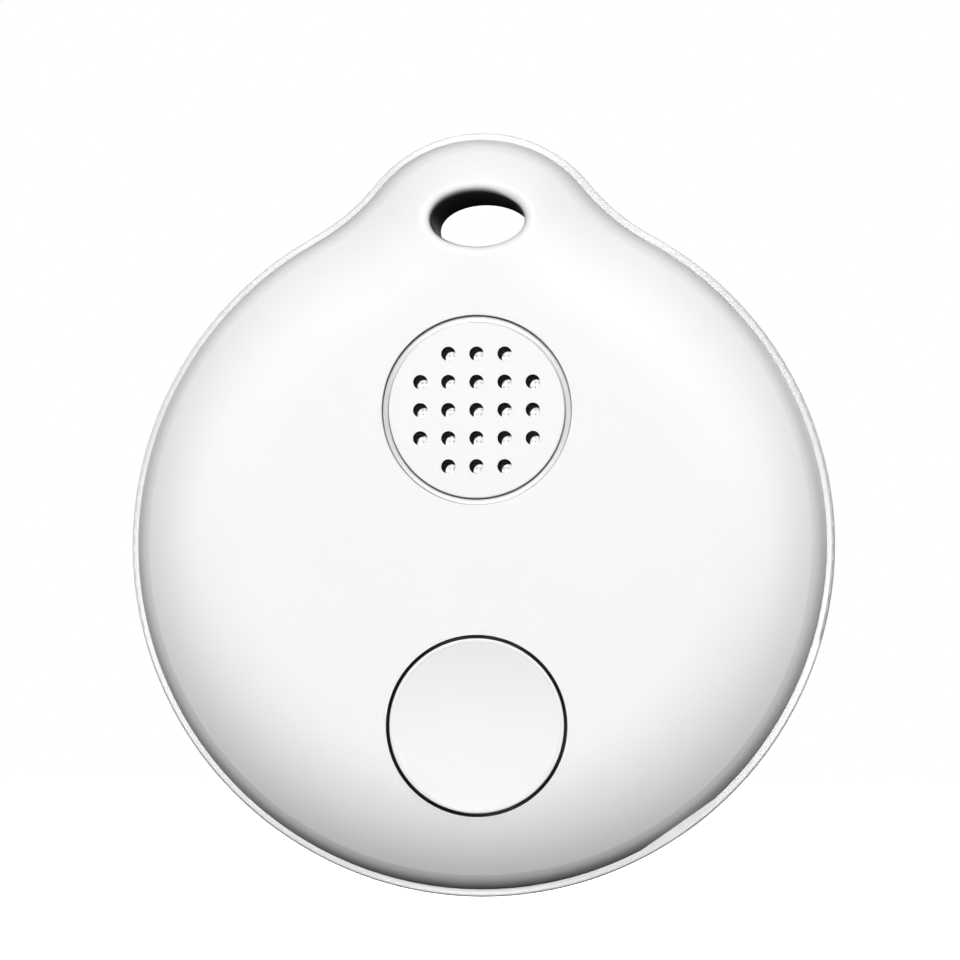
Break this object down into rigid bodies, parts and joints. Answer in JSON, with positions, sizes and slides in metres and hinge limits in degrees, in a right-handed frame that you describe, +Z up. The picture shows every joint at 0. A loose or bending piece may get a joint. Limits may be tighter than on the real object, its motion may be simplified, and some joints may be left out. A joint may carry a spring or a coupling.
{
  "type": "bluetooth tracker tag",
  "caption": "Teardrop key-ring tracker tag: domed white case with an oval key-ring hole, a round sound grille and a dished push button; a coin cell sits behind the pry-off rear cover.",
  "frame": {"origin": "on the key-ring hole's axis, halfway through the tag", "axes": "+Z up from the round body to the key-ring hole, front face towards -Y, +X to the right of the face"},
  "size_m": [0.038, 0.0084, 0.0412],
  "materials": {
    "case_white": "satin moulded ABS",
    "button_white": "smooth moulded ABS",
    "grille_white": "fine-textured moulded ABS",
    "mesh_white": "woven polyester",
    "tape_black": "foam tape",
    "brass": "rolled",
    "ceramic_silver": "screen-printed silver on ceramic",
    "wire_red": "insulated wire",
    "wire_black": "insulated wire",
    "solder": "solder",
    "board_green": "solder mask on glass epoxy",
    "chip_black": "moulded epoxy",
    "can_steel": "nickel-plated",
    "antenna_ceramic": "ceramic",
    "ferrite": "ferrite",
    "capacitor_tan": "ceramic",
    "switch_plastic": "moulded nylon",
    "plunger_white": "moulded nylon",
    "spring_steel": "nickel-plated spring steel",
    "tray_black": "moulded ABS",
    "screw_steel": "zinc-plated",
    "cell_steel": "nickel-plated",
    "gasket_grey": "polypropylene",
    "foam_grey": "open-cell foam"
  },
  "bodies": {
    "housing": {"front_shell": "case_white", "grille_disc": "grille_white", "dust_mesh": "mesh_white", "sounder_tape_ring": "tape_black", "sounder_plate": "brass", "sounder_ceramic": "ceramic_silver", "lead_wire_red": "wire_red", "lead_wire_black": "wire_black", "solder_joints": "solder", "switch_housing": "switch_plastic", "switch_frame": "spring_steel", "switch_dome": "spring_steel", "circuit_board": "board_green", "radio_chip": "chip_black", "crystal_can": "can_steel", "chip_antenna": "antenna_ceramic", "boost_inductor": "ferrite", "drive_transistor": "chip_black", "capacitors": "capacitor_tan", "resistors": "chip_black", "positive_contacts": "spring_steel", "negative_contact": "spring_steel", "battery_tray": "tray_black", "tray_screws": "screw_steel"},
    "cover": {"rear_cover": "case_white", "cell_pad": "foam_grey"},
    "button": {"button_cap": "button_white", "switch_plunger": "plunger_white"},
    "cell": {"coin_cell_can": "cell_steel", "coin_cell_cap": "cell_steel", "coin_cell_gasket": "gasket_grey"}
  },
  "joints": [
    {"name": "button_press", "type": "slide", "parent": "housing", "child": "button", "axis": [0, 1, 0], "range_m": [0, 0.00025], "stiffness_N_per_m": 6000, "springref_m": -0.00005, "deforming": ["switch_dome"]},
    {"name": "cover_removal", "type": "slide", "parent": "housing", "child": "cover", "axis": [0, 1, 0], "range_m": [0, 0.018]},
    {"name": "cell_removal", "type": "slide", "parent": "housing", "child": "cell", "axis": [0, 1, 0], "range_m": [0, 0.009]}
  ],
  "couplings": [
    {"joint": "cell_removal", "follows": "cover_removal", "ratio": 0.5}
  ]
}
